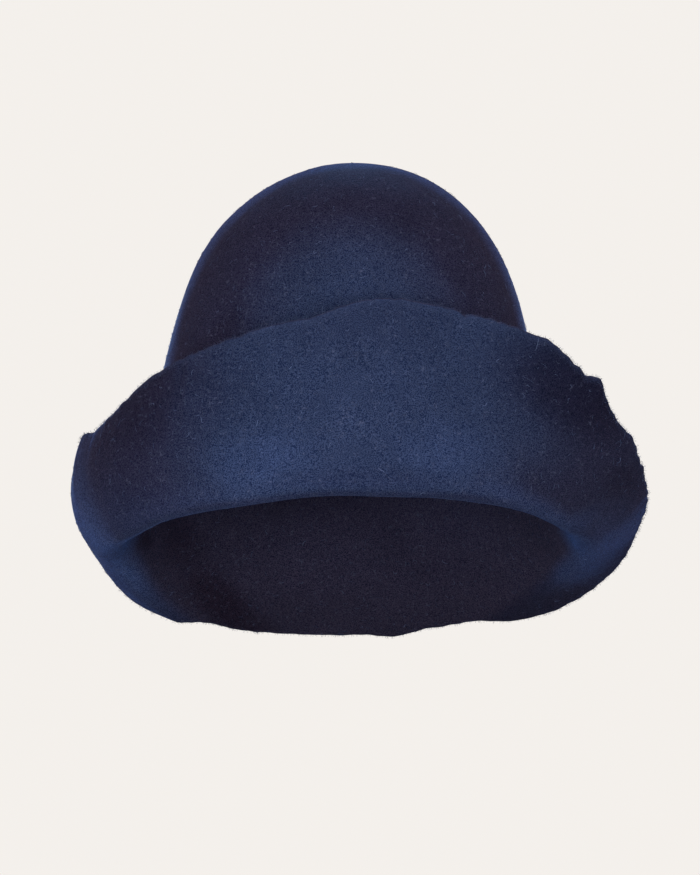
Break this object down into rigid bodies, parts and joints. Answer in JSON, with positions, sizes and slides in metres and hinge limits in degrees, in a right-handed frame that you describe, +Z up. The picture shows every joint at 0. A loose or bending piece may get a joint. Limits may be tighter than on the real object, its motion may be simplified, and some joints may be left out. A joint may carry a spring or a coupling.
{
  "type": "felt hat",
  "caption": "Navy wool felt hat in one piece, with a domed crown and a soft brim folded up at the front as a wide cuff and hanging at the back.",
  "frame": {"origin": "centre of the head line, the level inside the crown where the hat sits on a head", "axes": "+Z up along the crown's axis, -Y the front with the folded cuff, +X the wearer's left"},
  "size_m": [0.2653, 0.2516, 0.2173],
  "materials": {
    "navy_felt": "matt wool felt with a short nap"
  },
  "bodies": {
    "root": {"felt_hat": "navy_felt"}
  },
  "joints": []
}
